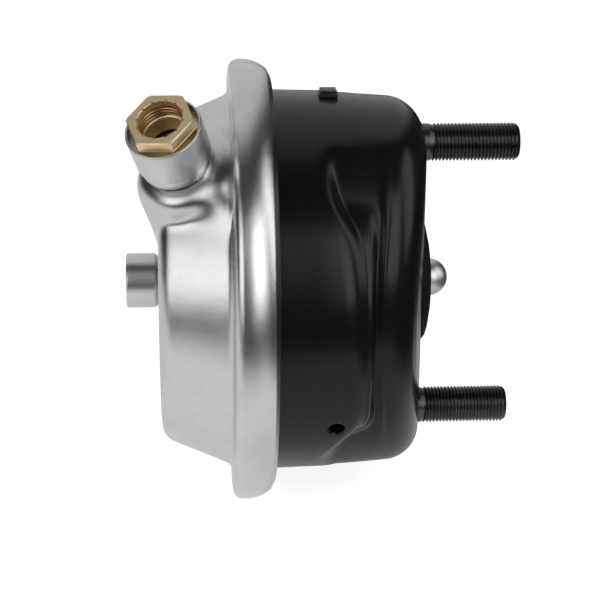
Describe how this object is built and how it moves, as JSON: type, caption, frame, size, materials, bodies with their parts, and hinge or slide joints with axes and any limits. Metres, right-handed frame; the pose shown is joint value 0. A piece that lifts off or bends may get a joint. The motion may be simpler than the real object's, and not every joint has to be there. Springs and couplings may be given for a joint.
{
  "type": "air brake chamber",
  "caption": "Diaphragm brake chamber with a crimped zinc plated cover, black pressed housing, angled push-in air port, threaded mounting studs and a sprung push rod with a ball end.",
  "frame": {"origin": "centre of the mounting face, on the push rod's axis and midway between the two studs", "axes": "+X out of the mounting face along the studs and the push rod, +Z along the stud line towards the air port's side; the port leans from +Z towards -Y"},
  "size_m": [0.1666, 0.1884, 0.1884],
  "materials": {
    "zinc_plate": "satin zinc plate",
    "black_paint": "satin black paint",
    "stud_steel": "black phosphate",
    "inner_steel": "plain pressed steel",
    "brass": "turned brass",
    "spring_steel": "drawn wire",
    "bright_steel": "polished",
    "rubber": "matt rubber",
    "plastic": "moulded"
  },
  "bodies": {
    "chamber": {"pressure_cover": "zinc_plate", "housing": "black_paint", "mounting_studs": "stud_steel", "backing_plate": "inner_steel", "port_boss": "zinc_plate", "port_fitting": "brass", "fitting_face_seal": "rubber", "fitting_tube_seal": "rubber", "fitting_coil": "bright_steel", "centre_bush": "zinc_plate", "blanking_plug": "zinc_plate", "blanking_plug_seal": "rubber", "vent_plugs": "plastic", "diaphragm": "rubber", "rod_boot": "rubber", "boot_retainer": "inner_steel", "return_spring": "spring_steel"},
    "rod": {"piston_plate": "inner_steel", "rod_hub": "inner_steel", "push_rod": "bright_steel"}
  },
  "joints": [
    {"name": "push_rod_stroke", "type": "slide", "parent": "chamber", "child": "rod", "axis": [1, 0, 0], "range_m": [0, 0.06], "stiffness_N_per_m": 1200, "springref_m": -0.02, "deforming": ["return_spring", "diaphragm", "rod_boot"]}
  ]
}
